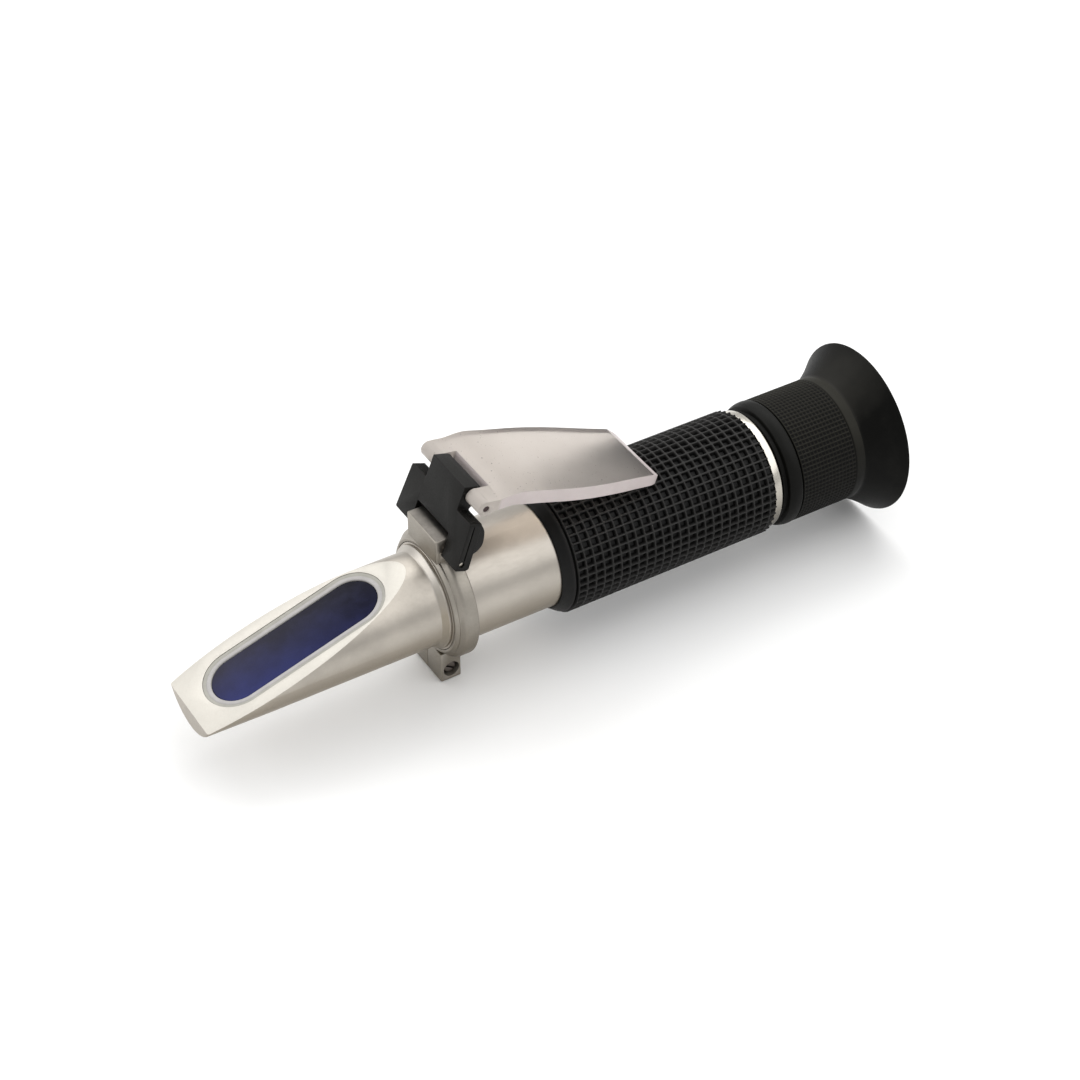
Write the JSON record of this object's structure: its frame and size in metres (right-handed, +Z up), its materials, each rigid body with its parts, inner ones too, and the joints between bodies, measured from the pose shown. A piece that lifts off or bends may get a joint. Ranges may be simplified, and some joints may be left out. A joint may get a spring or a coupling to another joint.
{
  "type": "hand-held refractometer",
  "caption": "Hand-held refractometer with a slanted prism, a folding clear daylight plate on a hinged bracket, a rubber grip and a focusing eyepiece with a flared eyecup.",
  "frame": {"origin": "on the surface that the instrument lies on, under the middle of its length and on its middle plane", "axes": "+X along the level optical axis from the prism to the eyepiece, +Z up, -Y towards the side that the picture shows"},
  "size_m": [0.164, 0.0388, 0.0502],
  "materials": {
    "satin_metal": "fine satin, bead blasted",
    "cast_metal": "satin cast metal with a smoother milled slanted face",
    "dark_steel": "dulled steel",
    "blackened_metal": "matt black inside the instrument",
    "brass": "turned brass",
    "black_plastic": "fine-grained moulded plastic",
    "black_rubber": "matt rubber, grid knurled",
    "grey_seal": "smooth sealing compound",
    "prism_glass": "polished, deep blue",
    "lens_glass": "polished and clear",
    "clear_plastic": "frosted clear plastic with brighter edges"
  },
  "bodies": {
    "barrel": {"barrel_tube": "satin_metal", "prism_box": "cast_metal", "prism": "prism_glass", "prism_seal": "grey_seal", "hinge_collar": "cast_metal", "clamp_screw": "dark_steel", "grip_sleeve": "black_rubber", "rear_bush": "satin_metal", "focus_o_ring": "black_rubber", "calibration_seat": "satin_metal", "compensator_strip": "brass", "field_stop": "blackened_metal", "scale_holder": "blackened_metal", "scale_glass": "lens_glass", "scale_ring": "blackened_metal"},
    "lens_cell": {"objective_cell": "blackened_metal", "objective_lens": "lens_glass", "objective_ring": "blackened_metal"},
    "calibration_screw": {"calibration_screw": "brass"},
    "bracket": {"cover_bracket": "black_plastic", "bracket_pin": "dark_steel", "plate_pin": "dark_steel"},
    "plate": {"daylight_plate": "clear_plastic"},
    "ocular": {"ocular_tube": "blackened_metal", "field_lens": "lens_glass", "lens_spacer": "blackened_metal", "eye_lens": "lens_glass", "ocular_ring": "blackened_metal"},
    "focus": {"focus_ring": "black_plastic", "eyecup": "black_rubber"}
  },
  "joints": [
    {"name": "bracket_fold", "type": "hinge", "parent": "barrel", "child": "bracket", "pos_m": [-0.0261, 0, 0.03635], "axis": [0, -1, 0], "range_deg": [0, 136.68]},
    {"name": "plate_fold", "type": "hinge", "parent": "bracket", "child": "plate", "pos_m": [-0.01993, 0, 0.04764], "axis": [0, -1, 0], "range_deg": [0, 79.41]},
    {"name": "calibration_turn", "type": "hinge", "parent": "barrel", "child": "calibration_screw", "pos_m": [-0.0175, 0, 0.032], "axis": [0, 0, 1], "range_deg": [-181, 181]},
    {"name": "cell_shift", "type": "slide", "parent": "barrel", "child": "lens_cell", "axis": [0, 0, 1], "range_m": [-0.00025, 0.00025]},
    {"name": "focus_turn", "type": "hinge", "parent": "ocular", "child": "focus", "pos_m": [0.063, 0, 0.02], "axis": [-1, 0, 0], "range_deg": [0, 271]},
    {"name": "focus_travel", "type": "slide", "parent": "barrel", "child": "ocular", "axis": [1, 0, 0], "range_m": [0, 0.003]}
  ],
  "couplings": [
    {"joint": "calibration_turn", "follows": "cell_shift", "rad_per_m": 12566},
    {"joint": "focus_turn", "follows": "focus_travel", "rad_per_m": 1570.8}
  ]
}
